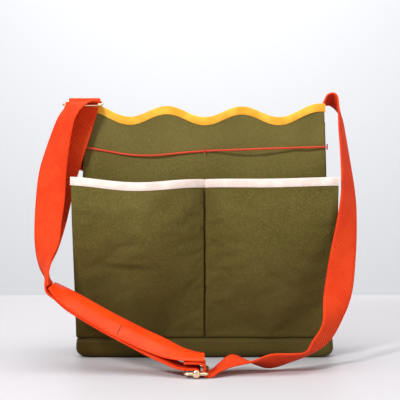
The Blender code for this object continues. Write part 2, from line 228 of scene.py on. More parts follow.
def lattice(name, rows, across, along, material, closed=False, caps=False):
    """A quad mesh over rows of points, with a UV map in metres from the across and along lengths."""
    shape = bmesh.new()
    uv = shape.loops.layers.uv.new("metres")
    lines = [[shape.verts.new(point) for point in row] for row in rows]
    count = len(rows[0])
    spans = count if closed else count - 1
    for i in range(len(rows) - 1):
        for j in range(spans):
            k = (j + 1) % count
            face = shape.faces.new((lines[i][j], lines[i][k], lines[i + 1][k], lines[i + 1][j]))
            corners = ((across[j], along[i]), (across[j + 1], along[i]),
                       (across[j + 1], along[i + 1]), (across[j], along[i + 1]))
            for loop, corner in zip(face.loops, corners):
                loop[uv].uv = corner
    if caps:
        for line in (lines[0], lines[-1]):
            shape.faces.new(line)
    return mesh_object(name, shape, material)


def add_cloth(item, growth, push):
    """Puts Cloth on a panel: sewn along its group of seams, with spare cloth and a push from inside."""
    cloth = item.modifiers.new("cloth", "CLOTH")
    cloth.collision_settings.use_collision = False
    settings = cloth.settings
    settings.quality = 5
    settings.mass = 0.15
    settings.tension_stiffness = settings.compression_stiffness = 25.0
    settings.shear_stiffness = 12.0
    settings.bending_stiffness = 0.3
    settings.shrink_min = -growth
    settings.vertex_group_mass = "seams"
    settings.use_pressure = True
    settings.uniform_pressure_force = push
    settings.effector_weights.gravity = 0.0
    return cloth


def settle_cloth(item, columns, rows, growth, push, limit):
    """Lets a sewn panel settle with a little spare cloth, each point moving no further than the limit."""
    scene = bpy.context.scene
    mesh = item.data
    stops = columns + 1
    held = [i for i in range(len(mesh.vertices)) if i % stops in (0, columns) or i // stops in (0, rows)]
    item.vertex_groups.new(name="seams").add(held, 1.0, "REPLACE")
    cloth = add_cloth(item, growth, push)
    for number in range(1, SETTLE_FRAMES + 1):
        scene.frame_set(number)
    settled = item.evaluated_get(bpy.context.evaluated_depsgraph_get()).data
    steps = [after.co - before.co for before, after in zip(mesh.vertices, settled.vertices)]
    item.modifiers.remove(cloth)
    item.vertex_groups.clear()
    for index, (vertex, step) in enumerate(zip(mesh.vertices, steps)):
        below_edge = 1.0 - (index // stops) / rows
        loose = smoothstep((below_edge - 0.055) / 0.12)
        vertex.co += step * loose * min(1.0, limit / max(step.length, 1e-9))
    scene.frame_set(1)


def shell(name, surface, columns, rows, thickness, material, closed=False, settle=None):
    """A sheet over surface(u, v), made as thick as the cloth and smoothed once.

    settle lists growth, push and limit for settle_cloth.
    """
    stops = columns if closed else columns + 1
    points = [[surface(i / columns, j / rows) for i in range(stops)] for j in range(rows + 1)]
    middle = points[len(points) // 2]
    across = running_length(middle + [middle[0]] if closed else middle)
    along = running_length([row[stops // 2] for row in points])
    item = lattice(name, points, across, along, material, closed)
    if settle:
        settle_cloth(item, columns, rows, *settle)
    solid = item.modifiers.new("cloth thickness", "SOLIDIFY")
    solid.thickness = thickness
    solid.offset = 0.0
    smooth = item.modifiers.new("smooth", "SUBSURF")
    smooth.levels = smooth.render_levels = 1
    return item


def sweep(name, rails, section, material, closed_rail=False):
    """A solid swept along rails of (centre, across, normal, curl); section lists (across, normal) offsets.

    Curl moves the section's two edges along the normal and leaves its middle where it is.
    """
    half = max(abs(a) for a, n in section)
    rows = []
    for centre, across, normal, curl in rails:
        rows.append([centre + across * a + normal * (n + curl * (a / half) ** 2) for a, n in section])
    ring = [Vector((a, n, 0.0)) for a, n in section]
    around = running_length(ring + [ring[0]])
    along = running_length([rail[0] for rail in rails])
    if closed_rail:
        rows.append(rows[0])
        along.append(along[-1] + (rails[0][0] - rails[-1][0]).length)
    item = lattice(name, rows, around, along, material, closed=True, caps=not closed_rail)
    if closed_rail:
        weld(item)
    item.data.set_sharp_from_angle(angle=SHARP_ANGLE)
    return item


def weld(item):
    shape = bmesh.new()
    shape.from_mesh(item.data)
    bmesh.ops.remove_doubles(shape, verts=shape.verts, dist=0.000001)
    shape.to_mesh(item.data)
    shape.free()


def band_section(width, thickness, steps=8, round_by=0.0006):
    """The outline of a flat band with softened edges, as (across, normal) pairs in order."""
    half = width / 2
    deep = thickness / 2
    top = [(-half + round_by + (width - 2 * round_by) * i / steps, deep) for i in range(steps + 1)]
    right = [(half - 0.2 * round_by, deep * 0.62), (half, 0.0), (half - 0.2 * round_by, -deep * 0.62)]
    bottom = [(a, -deep) for a, n in reversed(top)]
    left = [(-a, -n) for a, n in right]
    return top + right + bottom + left


def round_section(radius, sides=16):
    turn = 2 * math.pi / sides
    return [(radius * math.cos(turn * i), radius * math.sin(turn * i)) for i in range(sides)]


def ribbon_rails(stations):
    """Rails along stations of (centre in mm, direction across the band, curl in mm)."""
    centres = [Vector(station[0]) * MM for station in stations]
    sides = [Vector(station[1]).normalized() for station in stations]
    curls = [(station[2] if len(station) > 2 else 0.0) * MM for station in stations]
    last = len(stations) - 1
    rails = []
    for index in range(last * RAIL_STEPS + 1):
        place = index / RAIL_STEPS
        tangent = spline(centres, min(place + 0.04, last)) - spline(centres, max(place - 0.04, 0.0))
        tangent.normalize()
        across = spline(sides, place).normalized()
        normal = across.cross(tangent).normalized()
        rails.append((spline(centres, place), across, normal, spline(curls, place)))
    return rails


def path_rails(points, up=Vector((0.0, 0.0, 1.0)), closed=False):
    """Rails along a path whose across direction stays level with the given up vector."""
    rails = []
    count = len(points)
    for index, point in enumerate(points):
        if closed:
            tangent = points[(index + 1) % count] - points[index - 1]
        else:
            tangent = points[min(index + 1, count - 1)] - points[max(index - 1, 0)]
        tangent.normalize()
        across = tangent.cross(up).normalized()
        rails.append((point, across, across.cross(tangent), 0.0))
    return rails


def along_path(values, lengths, distance):
    """The value at a distance along a path, between the two listed values around it."""
    index = 0
    while index < len(lengths) - 2 and lengths[index + 1] < distance:
        index += 1
    share = (distance - lengths[index]) / max(lengths[index + 1] - lengths[index], 1e-9)
    return values[index].lerp(values[index + 1], share)


def stitch_ring(shape, points, lifts, lengths, distance, size, rise):
    """One ring of a thread dash, size and rise being shares of the thread's radius."""
    centre = along_path(points, lengths, distance)
    lift = along_path(lifts, lengths, distance)
    ahead = along_path(points, lengths, distance + 0.0004) - centre
    ahead = ahead.normalized() if ahead.length > 1e-9 else Vector((1.0, 0.0, 0.0))
    side = lift.cross(ahead).normalized()
    middle = centre + lift * THREAD_RADIUS * rise
    ring = []
    for turn in range(THREAD_SIDES):
        angle = 2 * math.pi / THREAD_SIDES * turn
        offset = side * math.cos(angle) + lift * math.sin(angle)
        ring.append(shape.verts.new(middle + offset * THREAD_RADIUS * size))
    return ring


def stitches(name, points, lifts, material, pitch=STITCH_PITCH):
    """A row of thread dashes along the points, each lifted off the cloth along its own direction."""
    shape = bmesh.new()
    lengths = running_length(points)
    for number in range(int(lengths[-1] / pitch)):
        rings = [stitch_ring(shape, points, lifts, lengths, (number + share) * pitch, size, rise)
                 for share, size, rise in STITCH_PROFILE]
        for ring, after in zip(rings, rings[1:]):
            for turn in range(THREAD_SIDES):
                following = (turn + 1) % THREAD_SIDES
                shape.faces.new((ring[turn], ring[following], after[following], after[turn]))
        shape.faces.new(rings[0])
        shape.faces.new(rings[-1])
    return mesh_object(name, shape, material)


# ---- materials

class Shader:
    """One material's node tree, with short calls for the nodes that the cloths share."""

    def __init__(self, name, roughness=0.8, metallic=0.0, sheen=0.0, specular=0.3):
        self.material = bpy.data.materials.new(name)
        self.material.use_nodes = True
        self.tree = self.material.node_tree
        self.surface = self.tree.nodes["Principled BSDF"]
        self.surface.inputs["Roughness"].default_value = roughness
        self.surface.inputs["Metallic"].default_value = metallic
        self.surface.inputs["Sheen Weight"].default_value = sheen
        self.surface.inputs["Sheen Roughness"].default_value = 0.5
        self.surface.inputs["Specular IOR Level"].default_value = specular
        place = self.tree.nodes.new("ShaderNodeTexCoord")
        self.uv = place.outputs["UV"]
        self.position = place.outputs["Object"]

    def put(self, value, socket):
        if isinstance(value, bpy.types.NodeSocket):
            self.tree.links.new(value, socket)
        else:
            socket.default_value = value

    def math(self, operation, first, second=0.0, third=0.0):
        node = self.tree.nodes.new("ShaderNodeMath")
        node.operation = operation
        for value, socket in zip((first, second, third), node.inputs):
            self.put(value, socket)
        return node.outputs[0]

    def noise(self, scale, detail=2.0, stretch=None):
        vector = self.position
        if stretch:
            mapping = self.tree.nodes.new("ShaderNodeMapping")
            self.put(vector, mapping.inputs["Vector"])
            mapping.inputs["Scale"].default_value = stretch
            vector = mapping.outputs["Vector"]
        node = self.tree.nodes.new("ShaderNodeTexNoise")
        self.put(vector, node.inputs["Vector"])
        node.inputs["Scale"].default_value = scale
        node.inputs["Detail"].default_value = detail
        return node.outputs["Fac"]

    def ramp(self, value, low, high, to_low=0.0, to_high=1.0):
        node = self.tree.nodes.new("ShaderNodeMapRange")
        node.interpolation_type = "SMOOTHSTEP"
        node.inputs["From Min"].default_value = low
        node.inputs["From Max"].default_value = high
        node.inputs["To Min"].default_value = to_low
        node.inputs["To Max"].default_value = to_high
        self.put(value, node.inputs["Value"])
        return node.outputs["Result"]

    def mix(self, share, first, second):
        node = self.tree.nodes.new("ShaderNodeMix")
        node.data_type = "RGBA"
        self.put(share, node.inputs[0])
        for value, socket in ((first, node.inputs[6]), (second, node.inputs[7])):
            self.put((*value, 1.0) if isinstance(value, tuple) else value, socket)
        return node.outputs[2]

    def axis(self, vector, letter):
        node = self.tree.nodes.new("ShaderNodeSeparateXYZ")
        self.put(vector, node.inputs[0])
        return node.outputs[letter]

    def weave(self, across, along):
        """Height of a plain weave with threads this far apart, between 0 and 1."""
        wave_u = self.math("SINE", self.math("MULTIPLY", self.axis(self.uv, "X"), 2 * math.pi / across))
        wave_v = self.math("SINE", self.math("MULTIPLY", self.axis(self.uv, "Y"), 2 * math.pi / along))
        return self.math("MULTIPLY_ADD", self.math("MULTIPLY", wave_u, wave_v), 0.5, 0.5)

    def finish(self, colour, height=None, depth=0.0003, strength=0.6, roughness=None):
        self.put(colour if isinstance(colour, bpy.types.NodeSocket) else (*colour, 1.0),
                 self.surface.inputs["Base Color"])
        if height is not None:
            bump = self.tree.nodes.new("ShaderNodeBump")
            bump.inputs["Strength"].default_value = strength
            bump.inputs["Distance"].default_value = depth
            self.put(height, bump.inputs["Height"])
            self.tree.links.new(bump.outputs["Normal"], self.surface.inputs["Normal"])
        if roughness is not None:
            self.put(roughness, self.surface.inputs["Roughness"])
        return self.material


def canvas_material():
    """Heavy olive canvas: plain weave and uneven threads both ways, with painted shade in the weave's gaps,
    painted shade making it darker and browner low down towards the left, and a painted highlight making it
    paler near the top.
    """
    shader = Shader("olive_canvas", roughness=0.9, specular=0.10)
    weave = shader.weave(0.0013, 0.0013)
    blotch = shader.ramp(shader.noise(9.0, 3.0), 0.32, 0.70)
    weft = shader.noise(900.0, 2.0, stretch=(0.40, 1.0, 1.0))
    warp = shader.noise(900.0, 2.0, stretch=(1.0, 1.0, 0.40))
    colour = shader.mix(blotch, (0.118, 0.092, 0.019), (0.158, 0.128, 0.031))
    colour = shader.mix(shader.ramp(weft, 0.44, 0.74, 0.0, 0.45), colour, (0.225, 0.188, 0.066))
    colour = shader.mix(shader.ramp(warp, 0.30, 0.52, 0.38, 0.0), colour, (0.048, 0.038, 0.010))
    # Painted shade: the canvas darkens and browns low down, most of all on the left, where the bag lies in
    # shade.
    low = shader.ramp(shader.axis(shader.position, "Z"), 0.01, 0.19, 1.0, 0.0)
    left = shader.ramp(shader.axis(shader.position, "X"), -0.16, 0.10, 1.0, 0.62)
    patch = shader.ramp(shader.noise(13.0, 4.0), 0.25, 0.65, 0.60, 1.0)
    low_left_painted_shade = shader.math("MULTIPLY", shader.math("MULTIPLY", low, left), patch)
    colour = shader.mix(low_left_painted_shade, colour, (0.048, 0.027, 0.004))
    # Painted highlight: the canvas is made paler above the pockets, where the key light falls full on it.
    top_painted_highlight = shader.ramp(shader.axis(shader.position, "Z"), 0.20, 0.27, 0.0, 0.22)
    colour = shader.mix(top_painted_highlight, colour, (0.270, 0.215, 0.075))
    # Painted shade in the gaps between the weave's threads.
    weave_gap_shade = shader.ramp(weave, 0.0, 0.35, 0.35, 0.0)
    colour = shader.mix(weave_gap_shade, colour, (0.040, 0.032, 0.010))
    height = shader.math("MULTIPLY_ADD", weft, 0.8, weave)
    return shader.finish(colour, height, depth=0.0005, strength=0.8)


def tape_material(name, colour, shade):
    """Cotton binding tape: a fine plain weave with soft mottling, and painted shade in the weave's gaps."""
    shader = Shader(name, roughness=0.75, sheen=0.08, specular=0.25)
    weave = shader.weave(0.0008, 0.0008)
    mottle = shader.ramp(shader.noise(60.0, 3.0), 0.35, 0.7)
    base = shader.mix(mottle, shade, colour)
    # Painted shade in the gaps between the weave's threads.
    weave_gap_shade = shader.ramp(weave, 0.0, 0.3, 0.18, 0.0)
    return shader.finish(shader.mix(weave_gap_shade, base, shade), weave, depth=0.0002, strength=0.4)


def webbing_material():
    """Woven cotton webbing: slanted ribs across the band, with painted shade making it darker between the
    threads.
    """
    shader = Shader("coral_webbing", roughness=0.75, specular=0.12)
    across = shader.axis(shader.uv, "X")
    along = shader.axis(shader.uv, "Y")
    wander = shader.math("MULTIPLY", shader.noise(260.0, 2.0), 0.0012)
    slant = shader.math("MULTIPLY_ADD", across, 0.55, along)
    phase = shader.math("MULTIPLY", shader.math("ADD", slant, wander), 2 * math.pi / 0.0027)
    rib = shader.math("SINE", phase)
    thread = shader.math("SINE", shader.math("MULTIPLY", across, 2 * math.pi / 0.0021))
    height = shader.math("MULTIPLY_ADD", shader.math("MULTIPLY_ADD", thread, 0.45, rib), 0.345, 0.5)
    mottle = shader.ramp(shader.noise(40.0, 3.0), 0.3, 0.7)
    lit = shader.mix(mottle, (0.83, 0.052, 0.007), (0.89, 0.076, 0.012))
    # Painted shade in the valleys between the ribs and threads.
    valley_shade = shader.ramp(height, 0.08, 0.62, 0.80, 0.0)
    return shader.finish(shader.mix(valley_shade, lit, (0.52, 0.016, 0.005)), height, depth=0.0009, strength=0.9)


def smooth_strap_material():
    """The strap's plain section: coated cloth with a faint grain and a soft gloss."""
    shader = Shader("coral_smooth", roughness=0.46, specular=0.16)
    grain = shader.noise(700.0, 3.0)
    wide = shader.ramp(shader.noise(38.0, 3.0), 0.3, 0.7)
    colour = shader.mix(wide, (0.84, 0.042, 0.002), (0.89, 0.058, 0.004))
    return shader.finish(colour, grain, depth=0.00015, strength=0.35,
                         roughness=shader.ramp(grain, 0.3, 0.7, 0.36, 0.5))


def gold_material():
    """Pale gold plated wire with fine handling scratches."""
    shader = Shader("gold_metal", roughness=0.2, metallic=1.0, specular=0.5)
    scratch = shader.noise(260.0, 4.0, stretch=(1.0, 6.0, 1.0))
    colour = shader.mix(shader.ramp(scratch, 0.3, 0.7), (0.98, 0.77, 0.52), (0.86, 0.60, 0.36))
    return shader.finish(colour, scratch, depth=0.00005, strength=0.25,
                         roughness=shader.ramp(scratch, 0.3, 0.75, 0.14, 0.32))


def elastic_material():
    """Braided elastic cord: two sets of threads crossing round it, with painted shade in the braid's hollows.
    """
    shader = Shader("coral_elastic", roughness=0.6, sheen=0.1)
    around = shader.math("MULTIPLY", shader.axis(shader.uv, "X"), 2 * math.pi / 0.0013)
    along = shader.math("MULTIPLY", shader.axis(shader.uv, "Y"), 2 * math.pi / 0.0022)
    first = shader.math("SINE", shader.math("ADD", around, along))
    second = shader.math("SINE", shader.math("SUBTRACT", around, along))
    braid = shader.math("MULTIPLY_ADD", shader.math("MULTIPLY", first, second), 0.5, 0.5)
    # Painted shade: the cord darkens where the braid's height is low, in its hollows.
    colour = shader.mix(shader.ramp(braid, 0.1, 0.7), (0.46, 0.025, 0.008), (0.82, 0.080, 0.025))
    return shader.finish(colour, braid, depth=0.0003, strength=0.7)


def thread_material(name, colour):
    shader = Shader(name, roughness=0.6, sheen=0.1)
    twist = shader.noise(2500.0, 1.0)
    dark = tuple(channel * 0.6 for channel in colour)
    mixed = shader.mix(shader.ramp(twist, 0.3, 0.7), dark, colour)
    return shader.finish(mixed, twist, depth=0.0001, strength=0.4)


def board_material():
    shader = Shader("base_board", roughness=0.9, specular=0.1)
    fibre = shader.noise(300.0, 4.0, stretch=(0.3, 1.0, 1.0))
    colour = shader.mix(fibre, (0.055, 0.045, 0.020), (0.085, 0.072, 0.034))
    return shader.finish(colour, fibre, depth=0.0003)


CANVAS = canvas_material()
YELLOW = tape_material("yellow_binding", (0.93, 0.49, 0.048), (0.80, 0.34, 0.018))
CREAM = tape_material("cream_binding", (0.84, 0.725, 0.665), (0.74, 0.60, 0.53))
CORAL = webbing_material()
CORAL_SMOOTH = smooth_strap_material()
GOLD = gold_material()
ELASTIC = elastic_material()
OLIVE_THREAD = thread_material("olive_thread", (0.120, 0.100, 0.036))
YELLOW_THREAD = thread_material("yellow_thread", (0.95, 0.55, 0.07))
CREAM_THREAD = thread_material("cream_thread", (0.88, 0.76, 0.64))
CORAL_THREAD = thread_material("coral_thread", (0.62, 0.030, 0.008))
BOARD = board_material()
# Near-black thread for the dark join across the smooth strap section, and as painted shade in the base band's
# seam.
DARK_JOIN_AND_SEAM_SHADE = thread_material("dark_join_and_seam_shade", (0.030, 0.024, 0.010))


# ---- the bag's surfaces

def body_share(z):
    """How far up the body a height is, 0 at the base band and 1 at the top."""
    return (z - BAND_HEIGHT) / (BODY_TOP - BAND_HEIGHT)


def pocket_share(z):
    """How far up the pockets a height is, 0 at the base band and 1 at their top."""
    return (z - BAND_HEIGHT) / (POCKET_TOP - BAND_HEIGHT)


def panel_half_width(z):
    return PANEL_HALF_WIDTH_BASE + (TOP_HALF_WIDTH - PANEL_HALF_WIDTH_BASE) * body_share(z)


def panel_y(z):
    return PANEL_Y_BASE + (PANEL_Y_TOP - PANEL_Y_BASE) * body_share(z)


def scallop(x):
    """Height of the wavy top edge at x."""
    wave = -0.5 * SCALLOP_DEPTH * math.cos(2.0 * math.pi * x / SCALLOP_PITCH)
    return BODY_TOP + wave + 0.0035 * (x / TOP_HALF_WIDTH) ** 4


def front_y(x, z):
    """The front panel's middle surface: above the pockets it sags in, most of all right of the centre."""
    above_pockets = smoothstep((z - 0.190) / 0.060)
    right_sag = 0.0100 * hump(x, 0.062, 0.070)
    left_sag = 0.0030 * hump(x, -0.060, 0.055)
    wave = 0.0012 * ripple(x, 0.3, z, 0.055)
    dent = 0.0040 * hump(x, 0.128, 0.022) * hump(z, 0.262, 0.050)
    return -panel_y(z) + (right_sag + left_sag + wave) * above_pockets + dent


def rear_y(x, z):
    """The rear panel's middle surface, with a slack belly and light creases."""
    hang = max(0.0, math.sin(math.pi * body_share(z)))
    belly = 0.0035 * hang * (1.0 - (x / 0.16) ** 2)
    return panel_y(z) + belly + 0.0014 * ripple(x, 3.7, z, 0.070) * hang ** 0.5


def pocket_half_width(z):
    return POCKET_HALF_WIDTH_BASE + (POCKET_HALF_WIDTH - POCKET_HALF_WIDTH_BASE) * pocket_share(z)


def pocket_top(x):
    """Height of the pockets' mouths: each hangs a little between its seams, the left one more."""
    if x < 0:
        return POCKET_MOUTH + 0.0024 * (x / 0.156) ** 2 - 0.0050 * hump(x, -0.082, 0.080)
    return POCKET_MOUTH + 0.0018 * (x / 0.156) - 0.0010 * hump(x, 0.075, 0.075)


def pocket_y(x, z):
    """The pockets' front surface: pulled in hard at the centre seam and standing off towards the mouth."""
    share = pocket_share(z)
    rise = smoothstep(share * 0.92 + 0.08)
    seam_y = panel_y(z) + 0.0040
    swell = math.sin(0.5 * math.pi * min(1.0, abs(x) / POCKET_CREASE_WIDTH)) ** 0.62
    corner = smoothstep((abs(x) - (POCKET_HALF_WIDTH - 0.012)) / 0.012)
    open_y = POCKET_Y_BASE + POCKET_STANDOFF * rise * (1.0 - 0.12 * corner)
    belly = 0.0040 * math.sin(math.pi * min(1.0, share)) * hump(abs(x), 0.085, 0.075)
    return -(seam_y + (open_y - seam_y) * swell + belly)


def pocket_wrinkle(x, z):
    """How far creases move the pocket cloth inwards: shallow ones all over, and one fold low on the left."""
    share = min(1.0, max(0.0, pocket_share(z)))
    inside = max(0.0, math.sin(math.pi * share)) ** 0.7 * hump(abs(x), 0.080, 0.085)
    soft = 0.0016 * ripple(x, 1.1, z * 1.3, 0.060)
    fine = 0.0006 * ripple(x * 1.6 + z, 5.2, z * 2.2 - x, 0.030)
    fold = hump(x + 0.35 * (z - 0.115), -0.088, 0.036)
    fold *= smoothstep((z - 0.107) / 0.010) * (1.0 - smoothstep((z - 0.120) / 0.070))
    return (soft + fine) * inside - 0.0050 * fold


def rounded_loop(half_x, half_y, radius, share):
    """A point on a rounded rectangle, share from 0 to 1 once round, each corner a quarter of it."""
    corners = ((half_x - radius, half_y - radius, 0.0), (radius - half_x, half_y - radius, 90.0),
               (radius - half_x, radius - half_y, 180.0), (half_x - radius, radius - half_y, 270.0))
    quarter = share * 4.0
    index = int(quarter) % 4
    centre_x, centre_y, start = corners[index]
    angle = math.radians(start + 90.0 * (quarter - int(quarter)))
    return centre_x + radius * math.cos(angle), centre_y + radius * math.sin(angle)


def even_loop(half_x, half_y, radius, share):
    """A point on a rounded rectangle at an even pace, share from 0 to 1, starting at the middle of +X."""
    straight_x = 2 * (half_x - radius)
    straight_y = 2 * (half_y - radius)
    arc = 0.5 * math.pi * radius
    pieces = ((straight_y / 2, "line"), (arc, "arc"), (straight_x, "line"),
              (arc, "arc"), (straight_y, "line"), (arc, "arc"),
              (straight_x, "line"), (arc, "arc"), (straight_y / 2, "line"))
    distance = share * sum(length for length, kind in pieces)
    x, y, heading = half_x, 0.0, 90.0
    for length, kind in pieces:
        part = min(distance, length)
        if kind == "line":
            x += part * math.cos(math.radians(heading))
            y += part * math.sin(math.radians(heading))
        else:
            turn = 90.0 * part / arc
            centre_x = x + radius * math.cos(math.radians(heading + 90.0))
            centre_y = y + radius * math.sin(math.radians(heading + 90.0))
            x = centre_x + radius * math.cos(math.radians(heading - 90.0 + turn))
            y = centre_y + radius * math.sin(math.radians(heading - 90.0 + turn))
            heading += turn
        distance -= part
        if distance <= 0.0:
            break
    return x, y


def tape_section(height, thickness):
    """Binding tape folded over an edge: rounded on top, its two lower edges turned in."""
    half = thickness / 2
    side = ((0.80, 0.0), (1.0, 0.10), (0.96, 0.5), (0.98, 0.80), (0.72, 0.95))
    left = [(-half * wide, height * up) for wide, up in side]
    right = [(half * wide, height * up) for wide, up in reversed(side)]
    return left + [(0.0, height)] + right + [(0.0, height * 0.04)]


def bind_edge(name, top_points, height, thickness, material):
    """Tape over the edge whose top runs through the points; the section stands upright all along."""
    rails = []
    last = len(top_points) - 1
    for index, point in enumerate(top_points):
        tangent = top_points[min(index + 1, last)] - top_points[max(index - 1, 0)]
        tangent.normalize()
        across = Vector((tangent.y, -tangent.x, 0.0)).normalized()
        up = Vector((0.0, 0.0, 1.0))
        pucker = 1.0 + 0.05 * ripple(point.x * 3.0, point.y, 7.7, 0.012)
        rails.append((point - up * height, across * pucker, up, 0.0))
    return sweep(name, rails, tape_section(height, thickness), material)


def panel_surface(surface_y):
    """The surface of the front or rear panel, up to the tape over its scalloped edge."""
    bottom = BAND_HEIGHT + 0.0002

    def surface(u, v):
        top = scallop((2 * u - 1) * TOP_HALF_WIDTH) - CLOTH_TUCK
        z = bottom + v * (top - bottom)
        x = (2 * u - 1) * (panel_half_width(z) - 0.0006)
        return Vector((x, surface_y(x, z), z))
    return surface


def make_panel(name, surface_y, facing):
    """A panel, the tape over its scalloped edge and the tape's stitches; facing is -1 or 1 along Y."""
    panel = shell(name + "_panel_cloth", panel_surface(surface_y), *PANEL_GRID, FABRIC, CANVAS)
    fit(panel, "bag", "olive_canvas", name + "_panel")
    edge = []
    for index in range(EDGE_STEPS + 1):
        x = (2 * index / EDGE_STEPS - 1) * (TOP_HALF_WIDTH + 0.0002)
        z = scallop(x) + 0.0002
        edge.append(Vector((x, surface_y(x, z), z)))
    tape = bind_edge(name + "_binding_tape", edge, YELLOW_TAPE, YELLOW_TAPE_THICKNESS, YELLOW)
    fit(tape, "bag", "yellow_binding", name + "_binding")
    outward = Vector((0.0, facing, 0.0))
    drop = Vector((0.0, 0.0, YELLOW_TAPE - TAPE_STITCH_INSET))
    row = [point - drop + outward * YELLOW_TAPE_THICKNESS / 2 for point in edge]
    thread = stitches(name + "_binding_stitches", row, [outward] * len(row), YELLOW_THREAD)
    fit(thread, "bag", "yellow_binding")


def gusset_surface(side):
    """The surface of the left (-1) or right (1) gusset, sewn to both panels and hollow between them."""
    bottom = BAND_HEIGHT + 0.0002

    def surface(u, v):
        z = bottom + v * (GUSSET_TOP - bottom)
        edge_x = panel_half_width(z) - FABRIC / 2
        near_y = front_y(side * edge_x, z)
        far_y = rear_y(side * edge_x, z)
        hollow = 0.0040 * math.sin(math.pi * v) * (1 - (2 * u - 1) ** 2)
        sag = hollow + 0.0008 * ripple(u * 0.1, side, z, 0.04)
        near_top = smoothstep((z - 0.200) / 0.03)
        x = edge_x - sag * (1 - 0.8 * near_top)
        return Vector((side * x, near_y + u * (far_y - near_y), z))
    return surface


def make_gusset(name, side):
    cloth = shell("gusset_cloth_" + name, gusset_surface(side), *GUSSET_GRID, FABRIC, CANVAS)
    fit(cloth, "bag", "olive_canvas", "gusset_" + name)
    x = side * (panel_half_width(GUSSET_TOP) - FABRIC / 2)
    half = panel_y(GUSSET_TOP) - 0.005
    top = [Vector((x, -half + 2 * half * i / HEM_STEPS, GUSSET_TOP + 0.0008)) for i in range(HEM_STEPS + 1)]
    hem = bind_edge("gusset_hem_" + name, top, GUSSET_HEM, GUSSET_HEM_THICKNESS, CANVAS)
    fit(hem, "bag", "olive_canvas")


def pocket_surface(side):
    """The surface of the left (-1) or right (1) pocket, from the centre seam out, turned in at its foot."""
    bottom = BAND_HEIGHT + 0.0004

    def surface(u, v):
        spread = u ** POCKET_SPACING
        top = pocket_top(side * (SEAM_HALF_GAP + spread * (POCKET_HALF_WIDTH - SEAM_HALF_GAP))) - CLOTH_TUCK
        z = bottom + v * (top - bottom)
        x = side * (SEAM_HALF_GAP + spread * (pocket_half_width(z) - SEAM_HALF_GAP))
        turned_in = 0.0024 * (1.0 - smoothstep((z - bottom) / 0.0032))
        return Vector((x, pocket_y(x, z) + pocket_wrinkle(x, z) + turned_in, z))
    return surface


def side_fold_surface(side):
    """The surface of a pocket's side fold, pleated inwards between the pocket and the front panel."""

    def surface(u, v):
        z = SIDE_FOLD_BOTTOM + v * (SIDE_FOLD_TOP - SIDE_FOLD_BOTTOM)
        near_x = pocket_half_width(z) - FABRIC / 2
        near_y = pocket_y(near_x, z) + 0.0014
        far_x = panel_half_width(z) - FABRIC / 2
        far_y = front_y(side * far_x, z) - 0.0002
        pleat = 0.0060 * math.sin(math.pi * u) * smoothstep((z - 0.052) / 0.08)
        x = near_x + u * (far_x - near_x) - pleat
        return Vector((side * x, near_y + u * (far_y - near_y), z))
    return surface


def make_pocket(name, side):
    """One pocket's cloth, the tape over its mouth, the tape's stitches and the pocket's side fold."""
    cloth = shell("pocket_cloth_" + name, pocket_surface(side), *POCKET_GRID, FABRIC, CANVAS,
                  settle=POCKET_SETTLE)
    fit(cloth, "bag", "olive_canvas", "pocket_panel_" + name)
    edge = []
    for index in range(POCKET_EDGE_STEPS + 1):
        share = (index / POCKET_EDGE_STEPS) ** POCKET_SPACING
        x = side * (SEAM_HALF_GAP + share * (POCKET_HALF_WIDTH + 0.0002 - SEAM_HALF_GAP))
        z = pocket_top(x) + 0.0002
        edge.append(Vector((x, pocket_y(x, min(z, POCKET_TOP)), z)))
    tape = bind_edge("pocket_tape_" + name, edge, CREAM_TAPE, CREAM_TAPE_THICKNESS, CREAM)
    fit(tape, "bag", "cream_binding", "pocket_binding_" + name)
    outward = Vector((0.0, -1.0, 0.0))
    offset = Vector((0.0, -CREAM_TAPE_THICKNESS / 2, TAPE_STITCH_INSET - CREAM_TAPE))
    row = [point + offset for point in edge[6:]]
    thread = stitches("pocket_tape_stitches_" + name, row, [outward] * len(row), CREAM_THREAD)
    fit(thread, "bag", "cream_binding")
    fold = shell("pocket_side_cloth_" + name, side_fold_surface(side), *SIDE_FOLD_GRID, FABRIC * 0.8, CANVAS)
    fit(fold, "bag", "olive_canvas", "pocket_side_" + name)


def seam_tape_surface(u, v):
    z = BAND_HEIGHT + 0.0004 + v * (SEAM_TAPE_TOP - BAND_HEIGHT - 0.0004)
    return Vector(((2 * u - 1) * SEAM_TAPE_HALF_WIDTH, -(panel_y(z) + 0.0019), z))


def make_body():
    make_panel("front", front_y, -1.0)
    make_panel("rear", rear_y, 1.0)
    for name, side in (("left", -1), ("right", 1)):
        make_gusset(name, side)


def make_pockets():
    for name, side in (("left", -1), ("right", 1)):
        make_pocket(name, side)
    strip = shell("pocket_seam_strip", seam_tape_surface, *SEAM_TAPE_GRID, SEAM_TAPE_THICKNESS, CANVAS)
    fit(strip, "bag", "olive_canvas", "pocket_seam_tape")


def base_lift(x, y):
    """The underside arches off the table a little right of the middle, at the front edge."""
    return 0.0022 * hump(x, 0.075, 0.060) * smoothstep((-y - 0.030) / 0.02)


